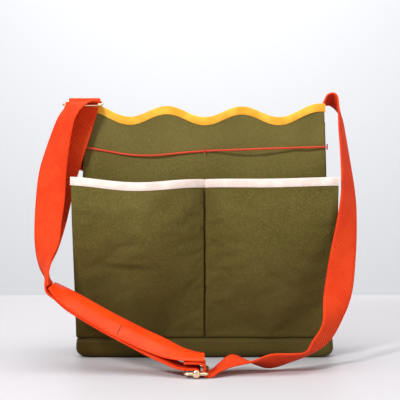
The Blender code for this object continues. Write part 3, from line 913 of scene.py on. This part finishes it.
def band_surface(u, v):
    """The base band, u round the base and v up it: rolled under at its foot and drawn in at its top."""
    if v < 0.5:
        inward = BAND_ROLL * (1.0 - math.sin(math.pi * v))
        height = BAND_ROLL * (1.0 - math.cos(math.pi * v))
    else:
        inward = 0.0
        height = BAND_ROLL + (BAND_HEIGHT - BAND_ROLL) * (v - 0.5) * 2
    puff = 0.0012 * math.sin(math.pi * v) - 0.0026 * smoothstep((v - 0.86) / 0.14)
    half_x = BASE_WIDTH / 2 - FABRIC / 2 - inward + puff
    half_y = BASE_DEPTH / 2 - FABRIC / 2 - inward + puff
    x, y = even_loop(half_x, half_y, max(BASE_CORNER - inward * 0.6, 0.006), u)
    x += 0.0008 * ripple(x, y, height, 0.03) * (1.0 - v) * v * 4
    height += base_lift(x, y) * (1.0 - v)
    return Vector((x, y, FABRIC / 2 + height * (1.0 - 0.5 * FABRIC / BAND_HEIGHT)))


def sole_surface(u, v):
    x = (2 * u - 1) * (BASE_WIDTH / 2 - SOLE_INSET)
    y = (2 * v - 1) * (BASE_DEPTH / 2 - SOLE_INSET)
    return Vector((x, y, FABRIC / 2 + base_lift(x, y)))


def base_loop(outset, height, stops):
    """Points round the base at one height, this far outside the band; stops are shares of the way round."""
    points = []
    for stop in stops:
        x, y = even_loop(BASE_WIDTH / 2 + outset, BASE_DEPTH / 2 + outset, BASE_CORNER, stop)
        points.append(Vector((x, y, height)))
    return points


def side_normal(point):
    """The outward direction of the base band's nearest flat side."""
    if abs(point.y) > 0.98 * BASE_DEPTH / 2:
        return Vector((0.0, math.copysign(1.0, point.y), 0.0))
    return Vector((math.copysign(1.0, point.x), 0.0, 0.0))


def make_base():
    """The base band with a dark cord of painted shade in the seam at its top, the stitches round it, and the
    cloth under the bag.
    """
    cloth = shell("base_band_cloth", band_surface, *BAND_GRID, FABRIC, CANVAS, closed=True)
    fit(cloth, "bag", "olive_canvas", "base_band")
    stops = [i / BASE_STEPS for i in range(BASE_STEPS + 1)]
    # A near-black cord deep in the seam at the band's top: painted shade for the crevice there.
    seam_shade_path = base_loop(-SEAM_SHADE_CORD_INSET, BAND_HEIGHT + 0.0004, stops[:-1])
    seam_shade_cord = sweep("base_seam_shade_cord", path_rails(seam_shade_path, closed=True), round_section(SEAM_SHADE_CORD_RADIUS, 10), DARK_JOIN_AND_SEAM_SHADE,
                   closed_rail=True)
    fit(seam_shade_cord, "bag", "olive_canvas")
    row = base_loop(0.0003, BAND_HEIGHT - 0.0035, stops)
    thread = stitches("base_stitches", row, [side_normal(point) for point in row], OLIVE_THREAD)
    fit(thread, "bag", "olive_canvas")
    sole = shell("base_sole", sole_surface, *SOLE_GRID, FABRIC, CANVAS)
    fit(sole, "bag", "olive_canvas", "base_bottom")
    dress("base_board", BOARD)


# ---- the strap

# Stations of the webbing: (centre in mm, direction across the band, curl in mm).
ANCHOR_RIGHT = (
    ((143.8, -20.2, 226), (0, 1, 0)),
    ((142.4, -20.2, 284), (0, 1, 0)),
    ((143.0, -20.2, 297), (0, 1, 0.02)),
    ((144.8, -20.7, 305.5), (0, 0.99, -0.10)),
    ((148.3, -21.8, 311.8), (0, 0.97, -0.24)),
    ((152.6, -23.2, 313.8), (0, 0.96, -0.28)),
)
TAB_LEFT = (
    ((-150.4, -22, 226), (0, -1, 0)),
    ((-148.8, -22, 270), (0, -1, 0)),
    ((-148.6, -21.9, 285), (0, -1, 0)),
    ((-148, -23, 293), (0.7, -0.7, 0)),
    ((-147, -27.5, 304), (1, 0, 0)),
    ((-147, -28.9, 308.5), (1, 0, 0)),
    ((-147, -28, 312.4), (1, 0, 0)),
    ((-147, -25, 313.9), (1, 0, 0)),
    ((-147, -21.8, 312.2), (1, 0, 0)),
    ((-147, -21.2, 308.5), (1, 0, 0)),
    ((-147, -22.6, 305.5), (1, 0, 0)),
)
RUN_RIGHT = (
    ((153.4, -23.4, 313.9), (0, 0.96, -0.28)),
    ((157.5, -25.2, 313), (0, 0.95, -0.30)),
    ((162, -29.3, 306.8), (0.10, 0.94, -0.30)),
    ((164.8, -35, 294.5), (0.24, 0.94, -0.20)),
    ((166.5, -40, 272), (0.33, 0.94, -0.10)),
    ((168.5, -47, 245), (0.38, 0.92, 0.04)),
    ((170.3, -61.5, 201), (0.54, 0.84, -0.08)),
    ((166.8, -74.5, 166.5), (0.70, 0.71, -0.02)),
    ((160, -87, 125), (0.86, 0.50, -0.03)),
    ((152.5, -100, 83.5), (0.90, 0.42, -0.04)),
    ((142.6, -118, 51.5), (0.62, 0.77, -0.10)),
    ((130, -123, 32), (0.58, 0.80, -0.12)),
    ((116.3, -130, 20.5), (0.32, 0.94, -0.16)),
    ((97, -137, 16), (0.10, 0.93, -0.35)),
    ((72, -141, 12.5), (0, 0.85, -0.53)),
    ((50, -142, 12), (0, 0.98, -0.17)),
    ((30, -145, 14), (0, 0.99, 0.16)),
    ((16, -152, 8), (0, 1, 0.04)),
    ((8.5, -156, 2.9), (0, 1, 0)),
    ((3, -156, 1.7), (0, 1, 0)),
    ((-0.6, -156, 3.0), (0, 1, 0)),
    ((-1.6, -156, 7.0), (0, 1, 0)),
    ((-0.4, -156, 11.5), (0, 1, 0)),
    ((-4, -156, 15), (0, 1, 0)),
    ((-12, -156, 15.8), (0, 1, 0)),
    ((-23, -154, 16.2), (0, 1, 0.05)),
)
SMOOTH_SECTION = (
    ((-1, -156, 19.6), (0, 1, 0.02)),
    ((-12, -155, 20.4), (0, 1, 0.08)),
    ((-28, -151, 23), (0.05, 0.98, 0.20)),
    ((-44.2, -144.5, 27.5), (0.12, 0.93, 0.34)),
    ((-61, -138.5, 33.5), (0.17, 0.91, 0.37)),
    ((-78, -133.5, 40.3), (0.19, 0.90, 0.38)),
    ((-112, -125, 56.3), (0.19, 0.90, 0.38)),
    ((-146.6, -117, 75.0), (0.17, 0.92, 0.35)),
    ((-164, -113.5, 85.8), (0.10, 0.96, 0.22)),
    ((-173.5, -112, 93.3), (0.03, 1, 0.06)),
)
RUN_OUTER = (
    ((-147, -45.9, 302.5), (1, 0, 0)),
    ((-147, -46.3, 305.6), (1, 0, 0)),
    ((-147, -49, 307.1), (1, 0, 0)),
    ((-147.5, -55.5, 306.3), (0.985, -0.14, 0.08)),
    ((-153, -63.5, 301.5), (0.80, -0.58, 0.13)),
    ((-164, -66, 286), (0.68, -0.73, 0.04)),
    ((-173.8, -66, 252), (0.80, -0.60, -0.02)),
    ((-179.8, -66, 222.7), (0.91, -0.40, 0)),
    ((-182, -68, 193), (0.95, -0.30, 0.02)),
    ((-183.8, -75, 164), (0.90, -0.43, 0)),
    ((-183.8, -84, 140), (0.83, -0.56, 0.03)),
    ((-184.8, -97, 113), (0.40, -0.90, 0.15), 0.4),
    ((-177.5, -111.5, 91.5), (-0.03, -1, -0.06), 0.5),
    ((-165.0, -112.2, 83.2), (-0.10, -0.96, -0.22)),
    ((-147.6, -115.8, 72.5), (-0.17, -0.92, -0.35)),
    ((-113.0, -123.8, 53.9), (-0.19, -0.90, -0.38)),
    ((-79.2, -132.2, 37.5), (-0.19, -0.90, -0.38)),
    ((-62.5, -137.6, 29), (-0.16, -0.92, -0.35)),
    ((-46.5, -144.8, 20), (-0.07, -0.97, -0.22)),
    ((-31, -153, 11), (0, -1, -0.03)),
    ((-21.6, -156, 9.3), (0, -1, 0)),
    ((-13, -156, 9.1), (0, -1, 0)),
    ((-8.6, -156, 8.5), (0, -1, 0)),
    ((-6, -156, 5.2), (0, -1, 0)),
    ((-9, -156, 1.8), (0, -1, 0)),
    ((-12.8, -156, 2.6), (0, -1, 0)),
)
RUN_INNER = (
    ((-147.1, -45.9, 301.5), (1, 0, 0)),
    ((-148, -46.8, 295), (1, 0, 0)),
    ((-151, -49, 284), (1, -0.03, 0.05)),
    ((-155, -51.5, 270), (1, -0.05, 0)),
    ((-163.9, -53, 242), (1, -0.05, 0)),
    ((-174.5, -51.5, 205), (1, 0, 0.10)),
    ((-180.5, -57, 172), (0.97, -0.20, 0.08)),
    ((-182, -70, 150), (0.87, -0.47, 0.08)),
    ((-182.5, -82, 132), (0.70, -0.70, 0.08), -0.2),
    ((-181.6, -95.2, 114), (0.38, -0.91, 0.14), -0.9),
    ((-178, -104.5, 102.5), (0.17, -0.98, 0.06), -1.6),
    ((-174.4, -110.6, 94.9), (0, -1, 0), -1.6),
)


def make_webbing(name, node, stations, body, material=None, section=None):
    section = section or band_section(WEBBING_WIDTH, WEBBING)
    band = sweep(name, ribbon_rails(stations), section, material or CORAL)
    fit(band, body, "coral_webbing", node)


def make_right_webbing():
    """The right run swept in one length and cut at its arch: the root stays where it is, the rest rides on
    the strap.
    """
    rails = ribbon_rails(ANCHOR_RIGHT + RUN_RIGHT[1:])
    peak = (len(ANCHOR_RIGHT) - 1) * RAIL_STEPS
    section = band_section(WEBBING_WIDTH, WEBBING)
    root = sweep("strap_anchor_webbing", rails[:peak + 1], section, CORAL)
    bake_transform(root)
    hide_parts("strap_anchor_right")
    band = sweep("strap_webbing_right", rails[peak:], section, CORAL)
    fit(band, "strap", "coral_webbing", "strap_run_right")


def crease_section():
    """The smooth section's outline: a band folded along its length, thickest at the crease."""
    half = WEBBING_WIDTH / 2
    top = []
    for index in range(13):
        a = -half + 0.0006 + (WEBBING_WIDTH - 0.0012) * index / 12
        crown = max(0.0, 1.0 - abs(a + 0.001) / half)
        top.append((a, 0.0011 + 0.0032 * crown ** 0.9))
    right = [(half - 0.0001, 0.0006), (half, 0.0), (half - 0.0001, -0.0006)]
    bottom = [(a, -0.0011) for a, n in reversed(top)]
    left = [(-a, -n) for a, n in right]
    return top + right + bottom + left


def make_smooth_stitching():
    """Thread rows down both edges of the smooth section and the seam across it."""
    rails = ribbon_rails(SMOOTH_SECTION)
    lifts = [rail[2] for rail in rails]
    for name, side in (("near", -1.0), ("far", 1.0)):
        inset = side * (WEBBING_WIDTH / 2 - 0.0026)
        points = [centre + across * inset + normal * 0.0017 for centre, across, normal, _ in rails]
        row = stitches("strap_smooth_stitches_" + name, points, lifts, CORAL_THREAD, STRAP_STITCH_PITCH)
        fit(row, "strap", "coral_webbing")
    centre, across, normal, _ = rails[int(5.5 * RAIL_STEPS)]
    points = [centre + across * (WEBBING_WIDTH / 2) * (share - 1.0) + normal * (0.0012 + 0.0033 * share)
              for share in (0.05, 0.25, 0.5, 0.75, 0.95)]
    seam = sweep("strap_smooth_join", path_rails(points), round_section(0.0005, 8), DARK_JOIN_AND_SEAM_SHADE)
    fit(seam, "strap", "coral_webbing")


def make_tab_stitching():
    """A box of thread with one diagonal on the ring tab's sewn end, whose face leans out as it drops."""
    near, far = TAB_BOX_Y
    low, high = TAB_BOX_Z
    corners = ((near, low), (near, high), (far, high), (far, low), (near, low), (far, high))
    box = [Vector((TAB_FACE_X + (z - low) * 0.028, y, z)) for y, z in corners]
    lifts = [Vector((-1.0, 0.0, 0.0))] * len(box)
    thread = stitches("strap_tab_stitches", box, lifts, CORAL_THREAD, STRAP_STITCH_PITCH)
    fit(thread, "bag", "coral_webbing")


def wire_path(place, half_x, half_y):
    """A rounded rectangle of wire, place(x, y) putting its flat points in space."""
    return [place(*rounded_loop(half_x, half_y, WIRE_CORNER, (quarter + step / 8 * 0.999) / 4))
            for quarter in range(4) for step in range(9)]


def make_ring():
    rear = Vector((RING_X, SWING_Y, SWING_Z))
    front = Vector((RING_X, RING_FRONT_Y, RING_FRONT_Z))
    forward = (front - rear).normalized()
    facing = forward.cross(Vector((1.0, 0.0, 0.0)))

    def on_ring(x, y):
        return (rear + front) / 2 + Vector((x, 0.0, 0.0)) + forward * y

    path = wire_path(on_ring, RING_HALF_WIDTH, (front - rear).length / 2)
    ring = sweep("strap_ring_wire", path_rails(path, facing, closed=True), round_section(WIRE_RADIUS), GOLD,
                 closed_rail=True)
    fit(ring, "strap", "gold_metal", "strap_ring")


def make_strap():
    make_webbing("strap_tab_webbing", "strap_tab_left", TAB_LEFT, "bag")
    make_right_webbing()
    make_webbing("strap_webbing_outer", "strap_run_outer", RUN_OUTER, "strap")
    make_webbing("strap_webbing_inner", "strap_run_inner", RUN_INNER, "strap")
    make_webbing("strap_smooth_band", "strap_smooth_section", SMOOTH_SECTION, "strap",
                 CORAL_SMOOTH, crease_section())
    make_smooth_stitching()
    make_tab_stitching()
    make_ring()


def turned(name, profile, centre, material):
    """A solid of revolution along Y, through profile points of (distance along Y, radius)."""
    angles = [2 * math.pi * i / TURNED_SIDES for i in range(TURNED_SIDES)]
    rows = []
    for along, radius in profile:
        rows.append([centre + Vector((radius * math.cos(angle), along, radius * math.sin(angle)))
                     for angle in angles])
    around = [i * 0.001 for i in range(TURNED_SIDES + 1)]
    lengths = [abs(along) for along, radius in profile]
    item = lattice(name, rows, around, lengths, material, closed=True, caps=True)
    item.data.set_sharp_from_angle(angle=TURNED_SHARP_ANGLE)
    return item


def make_slider():
    path = wire_path(lambda x, y: SLIDER_AT + Vector((x, y, 0.0)), SLIDER_HALF_LENGTH, SLIDER_HALF_WIDTH)
    wire = sweep("slider_wire", path_rails(path, closed=True), round_section(SLIDER_WIRE), GOLD,
                 closed_rail=True)
    fit(wire, "slider", "gold_metal", "slider_frame")
    for name, side in (("near", -1), ("far", 1)):
        centre = SLIDER_AT + Vector((0.0, side * SLIDER_HALF_WIDTH, 0.0))
        knob = turned("slider_knob_" + name, KNOB_PROFILE, centre, GOLD)
        fit(knob, "slider", "gold_metal")
    reach = SLIDER_HALF_WIDTH - 0.0026
    profile = ((-reach, BAR_END_RADIUS), (-reach + BAR_BEVEL, BAR_RADIUS),
               (reach - BAR_BEVEL, BAR_RADIUS), (reach, BAR_END_RADIUS))
    bar = turned("slider_bar_rod", profile, SLIDER_AT, GOLD)
    fit(bar, "slider", "gold_metal", "slider_bar")


# ---- the elastic cord

# The cord's route over the front panel, as (x, z) in mm.
ELASTIC_ROUTE = ((-146.3, 254), (-130, 251), (-113, 248), (-95, 245), (-76, 243.5), (-55, 244),
                 (-30, 246.5), (0, 249), (40, 250.5), (90, 252.3), (146.3, 254))


def make_elastic():
    knots = []
    for x, z in ELASTIC_ROUTE:
        y = -(panel_y(z * MM) + FABRIC / 2 + ELASTIC_RADIUS + 0.0004)
        knots.append(Vector((x * MM, y, z * MM)))
    path = [spline(knots, step * (len(knots) - 1) / ELASTIC_STEPS) for step in range(ELASTIC_STEPS + 1)]
    curve = bpy.data.curves.new("elastic_tool_cord", "CURVE")
    curve.dimensions = "3D"
    curve.bevel_depth = ELASTIC_RADIUS
    curve.bevel_resolution = 4
    curve.use_fill_caps = True
    line = curve.splines.new("POLY")
    line.points.add(len(path) - 1)
    for knot, point in zip(line.points, path):
        knot.co = (*point, 1.0)
    curve.materials.append(ELASTIC)
    cord = add_object("elastic_tool_cord", curve)
    fit(cord, "bag", "coral_webbing", "elastic_cord")
    tuple(path[0])
    running_length(path)[-1]
    for node in ("elastic_tack_centre", "elastic_tab_left", "elastic_tab_right"):
        dress(node, CORAL_THREAD)


# ---- stage, light and camera

def make_flat(name, corners, colour):
    """A flat sheet of the stage, in one plain colour."""
    mesh = bpy.data.meshes.new(name)
    mesh.from_pydata(corners, [], [(0, 1, 2, 3)])
    mesh.materials.append(Shader(name, roughness=0.5, specular=0.2).finish(colour))
    add_object(name, mesh)


def make_stage():
    make_flat("table", ((-3.0, -3.0, 0.0), (3.0, -3.0, 0.0), (3.0, TABLE_BACK, 0.0), (-3.0, TABLE_BACK, 0.0)),
              (0.560, 0.542, 0.556))
    make_flat("wall", ((-6.0, WALL_Y, -3.0), (6.0, WALL_Y, -3.0), (6.0, WALL_Y, 4.0), (-6.0, WALL_Y, 4.0)),
              (0.90, 0.90, 0.92))


def add_light(name, position, target, size, power):
    """A square area light at the position, turned to the target."""
    light = bpy.data.lights.new(name, "AREA")
    light.size = size
    light.energy = power
    item = add_object(name, light)
    item.location = position
    item.rotation_euler = (Vector(target) - Vector(position)).to_track_quat("-Z", "Y").to_euler()


def make_lights():
    add_light("key", (-0.85, -1.35, 1.05), (0.0, 0.0, 0.15), 0.24, 25.0)
    add_light("top", (0.1, -0.25, 1.7), (0.0, -0.1, 0.1), 1.2, 12.0)
    add_light("fill", (1.15, -1.25, 0.75), (0.05, 0.0, 0.15), 0.7, 8.0)
    add_light("backdrop", (0.0, 0.8, 1.9), (0.0, WALL_Y, -0.1), 2.2, 34.0)
    world = bpy.data.worlds.new("studio")
    world.use_nodes = True
    world.node_tree.nodes["Background"].inputs["Color"].default_value = (0.93, 0.96, 1.0, 1.0)
    world.node_tree.nodes["Background"].inputs["Strength"].default_value = 0.36
    bpy.context.scene.world = world
    bpy.context.scene.view_settings.view_transform = "Standard"


def make_camera():
    camera = bpy.data.cameras.new("camera")
    camera.lens = CAMERA_LENS
    camera.sensor_width = 36.0
    camera.clip_start = 0.01
    item = add_object("camera", camera)
    item.location = CAMERA_AT
    item.rotation_euler = (math.radians(90.0), 0.0, 0.0)
    bpy.context.scene.camera = item


make_camera()
make_elastic()
make_body()
make_pockets()
make_base()
make_strap()
make_slider()
make_stage()
make_lights()
